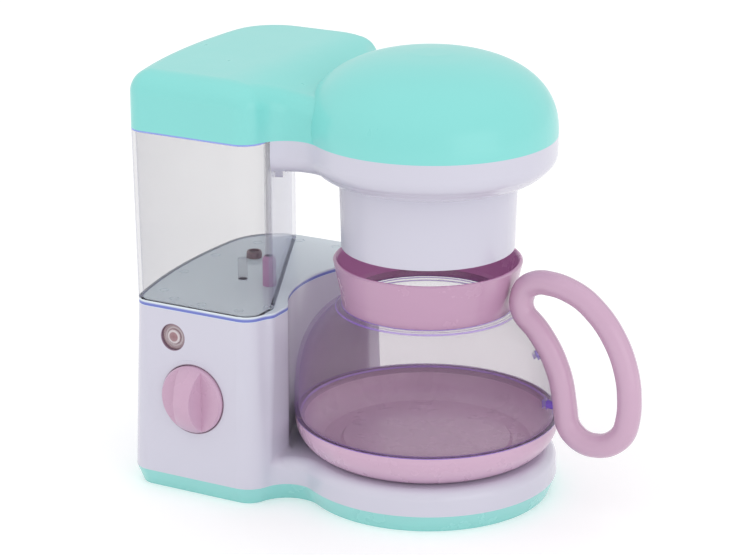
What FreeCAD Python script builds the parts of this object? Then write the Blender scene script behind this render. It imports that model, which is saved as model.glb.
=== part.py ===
import FreeCAD, Part
import math
import os

# Toy coffee maker. Millimetres, +Z up, -Y is the front with the knob, +X runs from the
# water tower towards the carafe. The origin is on the underside, on the carafe's axis.

# Base outline, read at the top edge of the bottom tray
front_y = -64.5
back_y = 59.0
left_x = -127.0
tower_right_x = -50.5
tower_corner_r = 12.0
front_left_r = 11.0
back_left_r = 30.0
left_bulge_r = 260.0
left_bulge_y = 5.0
platform_edge_r = 3.5
recess_edge_r = 6.0
tower_edge_r = 5.0
floor_edge_r = 2.0
waist_r = 13.0

# Heights
tray_height = 8.0
platform_top = 19.5
tower_top = 85.6
deck_thickness = 2.4
head_seam = 166.6
arm_depth = 15.6
bowl_depth = 19.6
cover_box_height = 26.0
cover_neck_height = 17.0
dome_height = 35.5

# Walls, drafts and clearances
shell_wall = 2.0
clear_wall = 1.8
tray_inset = 3.2
tower_draft = 3.0
tank_draft = 1.2
recess_gap = 2.5
loose_gap = 0.3
running_gap = 0.08
snug_gap = 0.05

# Head
dome_x = 2.5
dome_y = -2.5
dome_r = 55.5
dome_power = 2.4
cover_edge_r = 10.0
neck_edge_r = 8.0
head_waist_r = 13.5
neck_waist_r = 24.0
neck_inset = 13.0
slope_over_tank = 21.5
slope_over_arm = 20.5
bowl_edge_r = 15.0
tank_plane_front = (-51.0, -50.0)
tank_plane_back = (-101.0, 58.0)
tank_corner_r = 6.0
lip_start = 22.0
lip_end = 96.0
spout_r = 3.2
window_outer_r = 27.0
window_inner_r = 8.5
spoke_width = 7.0

# Filter basket
basket_top_r = 39.5
basket_bottom_r = 38.6
basket_height = 33.0
drip_hole_r = 2.0
drip_ring_r = 15.0

# Carafe
jar_r = 60.0
jar_base_inset = 0.5
jar_base_floor_r = 48.0
jar_base_height = 15.7
jar_base_wall = 2.2
jar_base_step_r = 39.0
jar_base_step = 1.2
jar_skirt = 2.5
jar_shoulder_z = 38.0
jar_power = 3.0
neck_r = 38.0
neck_z = 87.0
collar_rim_r = 42.6
collar_height = 20.8
spout_notch_r = 3.0
bead_r = 0.6
bead_drop = 1.0
lug_r = 1.8
handle_r = 5.4
handle_lugs = [(49.0, jar_r + 8.0), (71.5, jar_r + 0.5)]
handle_points = [(-14.2, 94.5), (-12.2, 101.6), (-5.5, 105.2), (5.0, 104.8), (16.0, 100.8), (26.5, 91.5),
                 (34.0, 79.5), (38.2, 66.0), (38.9, 52.0), (36.6, 41.0), (28.5, 34.3), (17.5, 33.6),
                 (9.5, 40.0), (8.0, 51.5), (6.0, 62.5), (1.0, 74.0), (-6.4, 83.8), (-12.6, 88.9)]

# Knob and lamp on the front
knob_x = -85.0
knob_z = 46.0
knob_r = 15.6
knob_proud = 10.5
knob_rim_proud = 1.0
knob_cut_proud = 1.9
knob_cut_rise = 0.6
knob_depth = 7.0
knob_bar_width = 7.9
knob_bar_foot = 11.2
knob_turn_shaft_r = 3.0
lamp_x = -95.5
lamp_z = 73.2
lamp_hole_r = 6.0
lamp_recess = 1.6
switch_boss_reach = 14.0
lamp_boss_reach = 11.0

# Water path
nozzle_x = -72.5
nozzle_y = -16.2
nozzle_r = 3.1
nozzle_height = 14.0
inlet_x = -100.0
inlet_y = 16.0
inlet_r = 3.6
inlet_height = 3.2
hose_r = 1.8
hose_bore_r = 1.1
hose_bend_r = 12.0
feed_hose_r = 3.4
feed_bend_r = 12.0
nozzle_spigot_r = 2.4
inlet_spigot_r = 2.5
peg_x = -87.6
peg_y = -14.6
peg_r = 2.2
peg_height = 10.0
stake_r = 1.8
stake_length = 3.2
stake_places = [(-110.5, -45.0), (-100.0, -53.0), (-85.0, -54.0), (-66.0, -53.5), (-57.0, -43.0),
                (-117.0, -18.0), (-117.5, 10.0), (-110.0, 36.0), (-94.0, 48.5), (-74.0, 48.0)]

# Motor, pump and batteries
motor_r = 10.0
motor_flat = 15.0
motor_length = 25.0
shaft_r = 1.0
pump_r = 13.0
pump_height = 10.0
pump_wall = 2.0
impeller_r = 9.0
impeller_height = 5.5
battery_r = 7.25
battery_length = 50.5
battery_pitch = 15.0
battery_count = 3
battery_box_x = -89.5
battery_box_y = 4.0
contact_thickness = 0.5
spring_length = 3.5
box_wall = 2.0
ledge = 3.0
door_thickness = 1.2
door_ear = 8.0
door_tab = 2.5
door_screw_head_r = 2.4
post_r = 3.0
pump_screw_r = 1.2

# Fasteners
screw_r = 1.5
screw_head_r = 2.9
screw_head_h = 2.0
boss_r = 4.0
screw_bite = 10.0
tray_floor = 2.4
case_screw_places = [(-112.0, -46.0), (-104.0, 48.0), (-62.0, -50.0), (-60.0, 47.0),
                     (20.0, -38.0), (20.0, 38.0)]

deck_top = tower_top + deck_thickness
recess_r = jar_r + recess_gap
jar_base_rim_r = jar_r - jar_base_inset
platform_r = jar_base_rim_r - jar_base_inset
recess_y = math.sqrt(recess_r ** 2 - tower_right_x ** 2)
arm_bottom = head_seam - arm_depth
bowl_bottom = head_seam - bowl_depth
basket_bottom = bowl_bottom - basket_height
jar_rim_z = platform_top + jar_base_height
collar_top = neck_z + collar_height
roof_reach = -2 * left_x
UP = FreeCAD.Vector(0, 0, 1)


def vec(x, y, z=0.0):
    return FreeCAD.Vector(x, y, z)


def polar(centre, radius, angle, z):
    return vec(centre[0] + radius * math.cos(angle), centre[1] + radius * math.sin(angle), z)


def arc(centre, radius, start, end, z):
    middle = (start + end) / 2
    curve = Part.Arc(polar(centre, radius, start, z), polar(centre, radius, middle, z),
                     polar(centre, radius, end, z))
    return curve.toShape()


def direction(a, b):
    return math.atan2(b[1] - a[1], b[0] - a[0])


def tangent_centre(a, reach_a, b, reach_b, left):
    """The point at the given distances from a and b, left or right of the line a to b."""
    apart = math.hypot(b[0] - a[0], b[1] - a[1])
    along = (reach_a ** 2 - reach_b ** 2 + apart ** 2) / (2 * apart)
    aside = math.sqrt(reach_a ** 2 - along ** 2)
    ux = (b[0] - a[0]) / apart
    uy = (b[1] - a[1]) / apart
    side = 1 if left else -1
    return (a[0] + ux * along - uy * aside * side, a[1] + uy * along + ux * aside * side)


def left_corner(radius, y):
    bulge = (left_x + left_bulge_r, left_bulge_y)
    reach = left_bulge_r - radius
    return (bulge[0] - math.sqrt(reach ** 2 - (y - bulge[1]) ** 2), y)


def left_side(front, back, grow, z):
    """The front-left corner, the bowed left side and the back-left corner, going down to the front."""
    bulge = (left_x + left_bulge_r, left_bulge_y)
    low = left_corner(front_left_r, front + front_left_r)
    high = left_corner(back_left_r, back - back_left_r)
    at_high = direction(bulge, high) % (2 * math.pi)
    at_low = direction(bulge, low) % (2 * math.pi)
    return low, high, [
        arc(high, back_left_r + grow, math.pi / 2, at_high, z),
        arc(bulge, left_bulge_r + grow, at_high, at_low, z),
        arc(low, front_left_r + grow, at_low, 1.5 * math.pi, z)]


def tower_wire(grow, z, front=front_y, back=back_y):
    """The tower by itself: a rounded box in plan with a bowed left side."""
    low, high, left = left_side(front, back, grow, z)
    right = tower_right_x - tower_corner_r
    fr = (right, front + tower_corner_r)
    br = (right, back - tower_corner_r)
    r = tower_corner_r + grow
    edges = left + [
        Part.LineSegment(vec(low[0], front - grow, z), vec(fr[0], front - grow, z)).toShape(),
        arc(fr, r, -math.pi / 2, 0, z),
        Part.LineSegment(vec(fr[0] + r, fr[1], z), vec(br[0] + r, br[1], z)).toShape(),
        arc(br, r, 0, math.pi / 2, z),
        Part.LineSegment(vec(br[0], back + grow, z), vec(high[0], back + grow, z)).toShape()]
    return Part.Wire(edges)


def waisted_wire(grow, z, centre, radius, waist, front=front_y, back=back_y):
    """The tower and a round end in one smooth outline, drawn in at a waist between them."""
    low, high, left = left_side(front, back, grow, z)
    right = tower_right_x - tower_corner_r
    fr = (right, front + tower_corner_r)
    br = (right, back - tower_corner_r)
    wf = tangent_centre(fr, tower_corner_r + waist, centre, radius + waist, False)
    wb = tangent_centre(br, tower_corner_r + waist, centre, radius + waist, True)
    r = tower_corner_r + grow
    edges = left + [
        Part.LineSegment(vec(low[0], front - grow, z), vec(fr[0], front - grow, z)).toShape(),
        arc(fr, r, -math.pi / 2, direction(fr, wf), z),
        arc(wf, waist - grow, direction(wf, fr), direction(wf, centre), z),
        arc(centre, radius + grow, direction(centre, wf), direction(centre, wb), z),
        arc(wb, waist - grow, direction(wb, centre), direction(wb, br) - 2 * math.pi
            if direction(wb, br) > direction(wb, centre) else direction(wb, br), z),
        arc(br, r, direction(br, wb), math.pi / 2, z),
        Part.LineSegment(vec(br[0], back + grow, z), vec(high[0], back + grow, z)).toShape()]
    return Part.Wire(edges)


def between(low, high):
    return Part.makeLoft([low, high], True, True)


def cyl(radius, bottom, top, x=0.0, y=0.0):
    return Part.makeCylinder(radius, top - bottom, vec(x, y, bottom))


def rod(radius, start, end):
    return Part.makeCylinder(radius, (end - start).Length, start, end - start)


def box(x0, x1, y0, y1, z0, z1):
    return Part.makeBox(x1 - x0, y1 - y0, z1 - z0, vec(x0, y0, z0))


def turned(edges, x=0.0, y=0.0):
    """A solid of revolution from a closed profile of edges in the XZ half plane."""
    solid = Part.Face(Part.Wire(edges)).revolve(vec(0, 0), UP, 360)
    solid.translate(vec(x, y))
    return solid


def poly(points):
    corners = [vec(r, 0, z) for r, z in points]
    return [Part.LineSegment(a, b).toShape() for a, b in zip(corners, corners[1:] + corners[:1])]


def fuse(shapes):
    return shapes[0].multiFuse(shapes[1:]).removeSplitter()


def cut(shape, tools):
    return shape.cut(tools).removeSplitter()


def save(name, shapes):
    solids = [s for shape in shapes for s in shape.Solids]
    for solid in solids:
        if not solid.isValid():
            print("NOT VALID", name)
    whole = solids[0] if len(solids) == 1 else Part.makeCompound(solids)
    whole.exportStep("parts/" + name + ".step")
    print("%-22s solids %2d volume %9.1f" % (name, len(solids), sum(s.Volume for s in solids)))


def edges_where(shape, test):
    return [e for e in shape.Edges if test(e.BoundBox, e.CenterOfMass)]


def prism(wire, height):
    return Part.Face(wire).extrude(vec(0, 0, height))


def drafted(z):
    return -tower_draft * (z - tray_height) / (tower_top - tray_height)


def face_y(z):
    """The front face of the tower at a height."""
    return front_y - drafted(z)


def recess_room(grow, floor):
    """What the tower leaves free for the carafe: all to the right of it and a round recess."""
    beside = box(tower_right_x + grow, 100, -100, 100, floor, 250)
    return beside.fuse(cyl(recess_r - grow, floor, 250))


def beside_edges(bounds, centre):
    """The upright edges where the tower meets the carafe's side."""
    tall = bounds.ZMax - bounds.ZMin > deck_thickness - 0.1
    return tall and abs(bounds.XMax - tower_right_x) < 0.01 and bounds.XMin > tower_right_x - 0.4


def base_form():
    """The white body from outside: tower and round platform."""
    centre = (0, 0)
    form = between(waisted_wire(0, tray_height, centre, platform_r, waist_r),
                   waisted_wire(-tower_draft, tower_top, centre, platform_r, waist_r))
    base = prism(waisted_wire(0, tray_height - 1, centre, platform_r, waist_r),
                 platform_top - tray_height + 1)
    base = base.makeFillet(platform_edge_r, edges_where(base, lambda b, c: b.ZMin > platform_top - 0.01))
    tower = box(-200, tower_right_x, -100, 100, tray_height - 1, tower_top + 1)
    tower = tower.cut(cyl(recess_r, platform_top, tower_top + 2))
    tower = tower.makeFillet(recess_edge_r, edges_where(
        tower, lambda b, c: beside_edges(b, c) and abs(abs(c.y) - recess_y) < 2))
    form = form.common(base.fuse(tower)).removeSplitter()
    form = form.makeFillet(floor_edge_r, edges_where(
        form, lambda b, c: abs(b.ZMax - platform_top) < 0.01 and abs(b.ZMin - platform_top) < 0.01
        and c.x < tower_right_x + 0.2))
    return form.makeFillet(tower_edge_r, edges_where(
        form, lambda b, c: b.ZMax - b.ZMin > 50 and beside_edges(b, c) and abs(c.y) > recess_y + 4))


def base_cavity():
    centre = (0, 0)
    top = tower_top - shell_wall
    form = between(waisted_wire(-shell_wall, tray_height, centre, platform_r, waist_r),
                   waisted_wire(drafted(top) - shell_wall, top, centre, platform_r, waist_r))
    return form.cut(recess_room(-shell_wall, platform_top - shell_wall))


def y_rod(radius, y0, y1, x, z):
    return rod(radius, vec(x, y0, z), vec(x, y1, z))


knob_floor_y = face_y(knob_z) + knob_depth
lamp_board_y = face_y(lamp_z) + 9.0
ceiling = tower_top - shell_wall


def body_shell():
    shell = base_form().cut(base_cavity())
    adds = []
    holes = []
    for x, y in case_screw_places:
        top = ceiling if x < tower_right_x else platform_top - shell_wall
        adds.append(cyl(boss_r, tray_height, top + 0.5, x, y))
        holes.append(cyl(screw_r + snug_gap, tray_height, tray_height + screw_bite
                         if x < tower_right_x else platform_top - shell_wall, x, y))
    adds.append(y_rod(knob_r + loose_gap + shell_wall, face_y(knob_z) + 0.5,
                      knob_floor_y + shell_wall, knob_x, knob_z))
    holes.append(y_rod(knob_r + loose_gap, face_y(knob_z) - 5, knob_floor_y, knob_x, knob_z))
    holes.append(y_rod(knob_turn_shaft_r + loose_gap, knob_floor_y, knob_floor_y + 5, knob_x, knob_z))
    back = knob_floor_y + shell_wall
    for side in (-1, 1):
        at = knob_x + side * switch_boss_reach
        adds.append(y_rod(boss_r - 1, back - 0.5, back + 4, at, knob_z))
        holes.append(y_rod(screw_r + snug_gap, back, back + 4, at, knob_z))
        at = lamp_x + side * lamp_boss_reach
        adds.append(y_rod(boss_r - 1, face_y(lamp_z) + 1, lamp_board_y, at, lamp_z))
        holes.append(y_rod(screw_r + snug_gap, face_y(lamp_z) + 3, lamp_board_y, at, lamp_z))
    holes.append(y_rod(lamp_hole_r, face_y(lamp_z) - 5, face_y(lamp_z) + 4, lamp_x, lamp_z))
    holes.append(cyl(nozzle_spigot_r + snug_gap, ceiling - 1, tower_top + 1, nozzle_x, nozzle_y))
    holes.append(cyl(inlet_spigot_r + snug_gap, ceiling - 1, tower_top + 1, inlet_x, inlet_y))
    for x, y in stake_places:
        holes.append(cyl(stake_r + snug_gap, tower_top - stake_length - 0.5, tower_top + 1, x, y))
    return cut(shell.fuse(adds), holes)


cell_span = battery_count * battery_pitch + 0.5
cell_length = battery_length + spring_length + 2 * contact_thickness
box_x0 = battery_box_x - cell_span / 2
box_x1 = battery_box_x + cell_span / 2
box_y0 = battery_box_y - cell_length / 2
box_y1 = battery_box_y + cell_length / 2
door_top = door_thickness + loose_gap
cell_z = door_top + loose_gap + battery_r
box_ceiling = cell_z + battery_r + 0.5
box_roof = box_ceiling + box_wall
door_screw_y = box_y1 + box_wall + door_ear - boss_r
door_seat_z = door_top - 0.4
motor_top = box_roof + motor_length
pump_top = motor_top + pump_height
post_reach = pump_r + 3.5


def bottom_tray():
    centre = (0, 0)
    outside = between(waisted_wire(-tray_inset, 0, centre, platform_r, waist_r),
                      waisted_wire(0, tray_height, centre, platform_r, waist_r))
    lean = tray_inset * (1 - tray_floor / tray_height)
    inside = between(waisted_wire(-lean - shell_wall, tray_floor, centre, platform_r, waist_r),
                     waisted_wire(-shell_wall, tray_height, centre, platform_r, waist_r))
    adds = [box(box_x0 - box_wall, box_x1 + box_wall, box_y0 - box_wall, box_y1 + box_wall, 0, box_roof),
            cyl(boss_r, 0, tray_height, battery_box_x, door_screw_y)]
    holes = [box(box_x0, box_x1, box_y0, box_y1, -1, box_ceiling),
             box(box_x0 - ledge, box_x1 + ledge, box_y0 - ledge, box_y1 + ledge, -1, door_top),
             box(battery_box_x - door_ear, battery_box_x + door_ear, box_y1, box_y1 + box_wall + door_ear,
                 -1, door_top),
             cyl(screw_r + snug_gap, 0, tray_height - 1, battery_box_x, door_screw_y)]
    for side in (-1, 1):
        x = battery_box_x + side * cell_span / 4
        holes.append(box(x - 4, x + 4, box_y0 - ledge - door_tab - loose_gap, box_y0 + 1, door_top - 0.5,
                         door_top + door_thickness + loose_gap))
        adds.append(cyl(post_r, box_roof - 1, motor_top, inlet_x, inlet_y + side * post_reach))
        holes.append(cyl(pump_screw_r + snug_gap, motor_top - screw_bite, motor_top + 1,
                         inlet_x, inlet_y + side * post_reach))
    for x, y in case_screw_places:
        adds.append(cyl(boss_r + 1, 0, tray_height, x, y))
        holes.append(cyl(screw_r + 0.2, -1, tray_height + 1, x, y))
        holes.append(cyl(screw_head_r + 0.3, -1, screw_head_h + 1, x, y))
    cradle = motor_block(1.8, box_roof - 0.5, box_roof + 4).cut(motor_block(snug_gap, box_roof, box_roof + 9))
    adds.append(cradle)
    return cut(fuse([outside.cut(inside)] + adds), holes)


def motor_block(grow, z0, z1):
    flat = motor_flat / 2 + grow
    return cyl(motor_r + grow, z0, z1, inlet_x, inlet_y).common(
        box(inlet_x - flat, inlet_x + flat, inlet_y - 2 * motor_r, inlet_y + 2 * motor_r, z0, z1))


def battery_door():
    plate = box(box_x0 - ledge + loose_gap, box_x1 + ledge - loose_gap, box_y0 - ledge + loose_gap,
                box_y1 + ledge - loose_gap, loose_gap, door_top)
    ear = box(battery_box_x - door_ear + loose_gap, battery_box_x + door_ear - loose_gap,
              box_y1, box_y1 + box_wall + door_ear - loose_gap, loose_gap, door_top)
    tabs = [box(x - 3.7, x + 3.7, box_y0 - ledge - door_tab, box_y0 - loose_gap, door_top - 0.4,
                door_top + door_thickness)
            for x in (battery_box_x - cell_span / 4, battery_box_x + cell_span / 4)]
    grips = [box(battery_box_x - 8, battery_box_x + 8, y, y + 1.2, loose_gap - 0.1, loose_gap + 0.4)
             for y in (box_y0 + 4, box_y0 + 7, box_y0 + 10)]
    return cut(fuse([plate, ear] + tabs), grips + [
        cyl(screw_r + 0.2, -1, 9, battery_box_x, door_screw_y),
        cyl(door_screw_head_r + loose_gap, -1, door_seat_z, battery_box_x, door_screw_y)])


def screw(base, towards, length, head_r=screw_head_r, head_h=screw_head_h, shank_r=screw_r):
    """A crosshead screw; base is under the head and the shank runs towards the given direction."""
    axis = FreeCAD.Vector(towards).normalize()
    head = rod(head_r, base - axis * head_h, base)
    head = head.makeFillet(head_h * 0.4, [head.Edges[0] if head.Edges[0].CenterOfMass.sub(
        base).Length > 0.5 else head.Edges[2]])
    body = head.fuse(rod(shank_r, base - axis * 0.5, base + axis * length)).removeSplitter()
    turn = FreeCAD.Rotation(UP, axis)
    slots = []
    for wide, deep in ((head_r * 1.2, 0.7), (0.7, head_r * 1.2)):
        slot = Part.makeBox(wide, deep, head_h * 0.6, vec(-wide / 2, -deep / 2, 0))
        slot.Placement = FreeCAD.Placement(base - axis * head_h, turn).multiply(slot.Placement)
        slots.append(slot)
    return body.cut(slots)


def case_screws():
    places = []
    for x, y in case_screw_places:
        length = tray_height - screw_head_h - 1 + screw_bite - 1
        if x > tower_right_x:
            length = platform_top - shell_wall - screw_head_h - 2
        places.append(screw(vec(x, y, screw_head_h + 1), UP, length))
    return places


def cells():
    """Each battery's x and whether its spring end is the rear one."""
    first = battery_box_x - battery_pitch * (battery_count - 1) / 2
    return [(first + i * battery_pitch, i % 2 == 0) for i in range(battery_count)]


def batteries():
    packs = []
    for x, spring_behind in cells():
        start = box_y0 + contact_thickness + (0 if spring_behind else spring_length)
        end = start + battery_length
        nub = 1.0
        body = y_rod(battery_r, start + (nub if spring_behind else 0),
                     end - (0 if spring_behind else nub), x, cell_z)
        packs.append(body.fuse(y_rod(2.75, start, end, x, cell_z)).removeSplitter())
    return packs


def battery_contacts():
    plates = []
    for x, spring_behind in cells():
        for y in (box_y0, box_y1 - contact_thickness):
            plates.append(box(x - 5, x + 5, y, y + contact_thickness, cell_z - 6, cell_z + 6))
    return plates


def battery_springs():
    coils = []
    for x, spring_behind in cells():
        wall = box_y1 - contact_thickness if spring_behind else box_y0 + contact_thickness
        towards = vec(0, -1 if spring_behind else 1, 0)
        cone = Part.makeCone(4.5, 3.0, spring_length, vec(x, wall, cell_z), towards)
        coils.append(cone.cut(Part.makeCone(3.7, 2.2, spring_length, vec(x, wall, cell_z), towards)))
    return coils


def motor_end_cap():
    cap = motor_block(0, box_roof, box_roof + 3)
    return cap.cut(cyl(shaft_r + snug_gap, box_roof + 1, box_roof + 4, inlet_x, inlet_y))


def motor_can():
    can = motor_block(0, box_roof + 3, motor_top)
    can = can.fuse(cyl(3.0, motor_top - 1, motor_top + 1.5, inlet_x, inlet_y)).removeSplitter()
    return can.cut(cyl(shaft_r + snug_gap, box_roof + 2, motor_top + 3, inlet_x, inlet_y))


def motor_shaft():
    return cyl(shaft_r, box_roof + 1.5, motor_top + 3 + impeller_height, inlet_x, inlet_y)


chamber_floor = motor_top + 3.0
chamber_r = pump_r - pump_wall


def pump_outlet():
    """The outlet's axis leaves the chamber at its side and runs straight under the nozzle."""
    away = math.hypot(nozzle_x - inlet_x, nozzle_y - inlet_y)
    offset = chamber_r - nozzle_spigot_r
    angle = direction((inlet_x, inlet_y), (nozzle_x, nozzle_y)) + math.asin(offset / away)
    heading = vec(math.cos(angle), math.sin(angle))
    foot = vec(inlet_x + offset * math.sin(angle), inlet_y - offset * math.cos(angle),
               chamber_floor + impeller_height / 2)
    return foot, heading


def pump_housing():
    foot, heading = pump_outlet()
    case = fuse([cyl(pump_r, motor_top, pump_top, inlet_x, inlet_y)]
                + [cyl(post_r + 0.4, motor_top, pump_top, inlet_x, inlet_y + side * post_reach)
                   .fuse(box(inlet_x - 2, inlet_x + 2, inlet_y + min(side * post_reach, 0),
                             inlet_y + max(side * post_reach, 0), motor_top, pump_top)) for side in (-1, 1)]
                + [rod(nozzle_spigot_r, foot, foot + heading * (pump_r + 9))])
    holes = [cyl(chamber_r, chamber_floor, pump_top + 1, inlet_x, inlet_y),
             cyl(3.0 + snug_gap, motor_top - 1, motor_top + 1.5, inlet_x, inlet_y),
             cyl(2.5, motor_top, chamber_floor + 1, inlet_x, inlet_y),
             rod(1.4, foot, foot + heading * (pump_r + 10))]
    holes += [cyl(pump_screw_r + 0.15, motor_top - 1, pump_top + 1, inlet_x, inlet_y + side * post_reach)
              for side in (-1, 1)]
    return cut(case, holes)


def shaft_seal():
    return cyl(2.45, motor_top + 1.5, chamber_floor, inlet_x, inlet_y).cut(
        cyl(shaft_r + running_gap, motor_top, chamber_floor + 1, inlet_x, inlet_y))


def impeller():
    hub = cyl(2.4, chamber_floor + 0.5, chamber_floor + 0.5 + impeller_height, inlet_x, inlet_y)
    disc = cyl(impeller_r, chamber_floor + 0.5, chamber_floor + 1.7, inlet_x, inlet_y)
    blade = box(inlet_x + 1.5, inlet_x + impeller_r - 0.5, inlet_y - 0.6, inlet_y + 0.6,
                chamber_floor + 1, chamber_floor + 0.5 + impeller_height)
    blades = []
    for i in range(5):
        turned_blade = blade.copy()
        turned_blade.rotate(vec(inlet_x, inlet_y), UP, 72 * i)
        blades.append(turned_blade)
    return fuse([hub, disc] + blades).cut(cyl(shaft_r, 0, 200, inlet_x, inlet_y))


def pump_cover():
    plate = fuse([cyl(pump_r, pump_top, pump_top + 2, inlet_x, inlet_y),
                  cyl(inlet_spigot_r, pump_top, pump_top + 10, inlet_x, inlet_y)]
                 + [cyl(post_r + 0.4, pump_top, pump_top + 2, inlet_x, inlet_y + side * post_reach)
                    for side in (-1, 1)]
                 + [box(inlet_x - 2, inlet_x + 2, inlet_y - post_reach, inlet_y + post_reach,
                        pump_top, pump_top + 2)])
    return cut(plate, [cyl(1.6, pump_top - 1, pump_top + 11, inlet_x, inlet_y)]
               + [cyl(pump_screw_r + 0.15, pump_top - 1, pump_top + 3, inlet_x, inlet_y + side * post_reach)
                  for side in (-1, 1)])


def pump_screws():
    return [screw(vec(inlet_x, inlet_y + side * post_reach, pump_top + 2), vec(0, 0, -1),
                  pump_height + 2 + screw_bite - 1, 2.4, 1.6, pump_screw_r) for side in (-1, 1)]


def hose(points, bend, outer, bore):
    """A hose along straight runs joined by tangent arcs of one radius."""
    edges = []
    start = points[0]
    for before, corner, after in zip(points, points[1:], points[2:]):
        come = (corner - before).normalize()
        leave = (after - corner).normalize()
        turn = come.getAngle(leave)
        reach = bend * math.tan(turn / 2)
        first = corner - come * reach
        last = corner + leave * reach
        inward = (leave - come).normalize()
        middle = corner + inward * (bend / math.cos(turn / 2) - bend)
        edges.append(Part.LineSegment(start, first).toShape())
        edges.append(Part.Arc(first, middle, last).toShape())
        start = last
    edges.append(Part.LineSegment(start, points[-1]).toShape())
    path = Part.Wire(edges)
    heading = (points[1] - points[0]).normalize()
    pipes = []
    for radius in (outer, bore):
        ring = Part.Wire([Part.makeCircle(radius, points[0], heading)])
        pipes.append(path.makePipeShell([ring], True, False))
    return pipes[0].cut(pipes[1])


nozzle_foot = tower_top - 12.0
inlet_foot = tower_top - 9.6


def inlet_hose():
    tube = cyl(feed_hose_r, pump_top + 3, inlet_foot + 5, inlet_x, inlet_y)
    return tube.cut(cyl(inlet_spigot_r, pump_top, inlet_foot + 9, inlet_x, inlet_y))


def outlet_hose():
    foot, heading = pump_outlet()
    level = foot.z
    begin = foot + heading * (pump_r + 2)
    return hose([begin, vec(nozzle_x, nozzle_y, level), vec(nozzle_x, nozzle_y, nozzle_foot + 7)],
                feed_bend_r, feed_hose_r, nozzle_spigot_r)


def knob_shape():
    """The knob about +Z: a dome with a straight grip bar left between two V-shaped cuts."""
    rear = 0.5
    rim = knob_depth + knob_rim_proud
    crown = knob_depth + knob_proud
    cap_r = (knob_r ** 2 + (crown - rim) ** 2) / (2 * (crown - rim))
    part_way = knob_r / 2
    part_up = crown - cap_r + math.sqrt(cap_r ** 2 - part_way ** 2)
    edge = Part.Arc(vec(knob_r, 0, rim), vec(part_way, 0, part_up), vec(0, 0, crown))
    profile = [Part.LineSegment(vec(0, 0, rear), vec(knob_r, 0, rear)).toShape(),
               Part.LineSegment(vec(knob_r, 0, rear), vec(knob_r, 0, rim)).toShape(),
               edge.toShape(),
               Part.LineSegment(vec(0, 0, crown), vec(0, 0, rear)).toShape()]
    foot = knob_bar_foot / 2
    low = knob_depth + knob_cut_proud
    high = crown + 2
    lean = (foot - knob_bar_width / 2) / (crown - low)
    reach = knob_r + 1
    cuts = []
    for side in (-1, 1):
        section = [vec(side * foot, -reach, low), vec(side * (foot - lean * (high - low)), -reach, high),
                   vec(side * reach, -reach, high), vec(side * reach, -reach, low + knob_cut_rise)]
        cuts.append(Part.Face(Part.makePolygon(section + section[:1])).extrude(vec(0, 2 * reach, 0)))
    return turned(profile).cut(cuts).cut(cyl(knob_turn_shaft_r, 0, 5.0))


def stood_on_front(shape, x, y, z):
    """Turns a shape made about +Z so that it points out of the front face."""
    shape = shape.copy()
    shape.rotate(vec(0, 0), vec(1, 0, 0), 90)
    shape.translate(vec(x, y, z))
    return shape


def knob():
    return stood_on_front(knob_shape(), knob_x, knob_floor_y, knob_z)


def switch_spindle():
    return y_rod(knob_turn_shaft_r, knob_floor_y - 5.0, knob_floor_y + shell_wall + 9.0, knob_x, knob_z)


def rotary_switch():
    back = knob_floor_y + shell_wall
    plate_y = back + 4
    body = fuse([y_rod(9.0, back + 0.5, back + 12, knob_x, knob_z),
                 box(knob_x - switch_boss_reach - 3, knob_x + switch_boss_reach + 3, plate_y, plate_y + 1.5,
                     knob_z - 7, knob_z + 7)]
                + [box(knob_x + dx - 1.5, knob_x + dx + 1.5, back + 11, back + 16, knob_z - 0.3, knob_z + 0.3)
                   for dx in (-5, 0, 5)])
    holes = [y_rod(knob_turn_shaft_r + running_gap, back, back + 9.5, knob_x, knob_z)]
    holes += [y_rod(screw_r + 0.2, back, back + 8, knob_x + side * switch_boss_reach, knob_z)
              for side in (-1, 1)]
    return cut(body, holes)


def switch_screws():
    y = knob_floor_y + shell_wall + 5.5
    return [screw(vec(knob_x + side * switch_boss_reach, y, knob_z), vec(0, -1, 0), 5.2, 2.6, 1.6)
            for side in (-1, 1)]


def lamp_lens():
    """A clear stepped lens, seated a little behind the front face, with a collar inside the wall."""
    y = face_y(lamp_z)
    deep = shell_wall + 0.6 - lamp_recess
    points = [(0, -2.4), (3.0, -2.4), (3.0, -0.8), (lamp_hole_r + 1.6, -0.8), (lamp_hole_r + 1.6, 0),
              (lamp_hole_r - 0.15, 0), (lamp_hole_r - 0.15, deep + 0.5), (lamp_hole_r - 1.0, deep + 0.5),
              (lamp_hole_r - 1.5, deep), (3.6, deep), (3.2, deep + 0.7), (2.5, deep + 0.9), (0, deep + 1.3)]
    lens = turned(poly(points)).cut(cyl(2.5, -3, -0.9))
    return stood_on_front(lens, lamp_x, y + shell_wall + 0.6, lamp_z)


def lamp():
    y = face_y(lamp_z) + shell_wall + 0.6
    bulb = y_rod(2.45, y + 1.1, lamp_board_y, lamp_x, lamp_z)
    return bulb.makeFillet(1.2, [e for e in bulb.Edges if e.CenterOfMass.y < y + 1.2 and len(e.Vertexes) == 1
                                 and e.Length < 20][:1])


def lamp_board():
    board = box(lamp_x - lamp_boss_reach - 4, lamp_x + lamp_boss_reach + 4, lamp_board_y, lamp_board_y + 1.6,
                lamp_z - 7, lamp_z + 7)
    return cut(board, [y_rod(screw_r + 0.2, lamp_board_y - 1, lamp_board_y + 3,
                             lamp_x + side * lamp_boss_reach, lamp_z) for side in (-1, 1)])


def lamp_board_screws():
    return [screw(vec(lamp_x + side * lamp_boss_reach, lamp_board_y + 1.6, lamp_z), vec(0, -1, 0),
                  5.0, 2.6, 1.6) for side in (-1, 1)]


head_grow = tank_draft - tower_draft
across = vec(tank_plane_back[0] - tank_plane_front[0], tank_plane_back[1] - tank_plane_front[1]).normalize()
outward = vec(across.y, -across.x)


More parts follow.
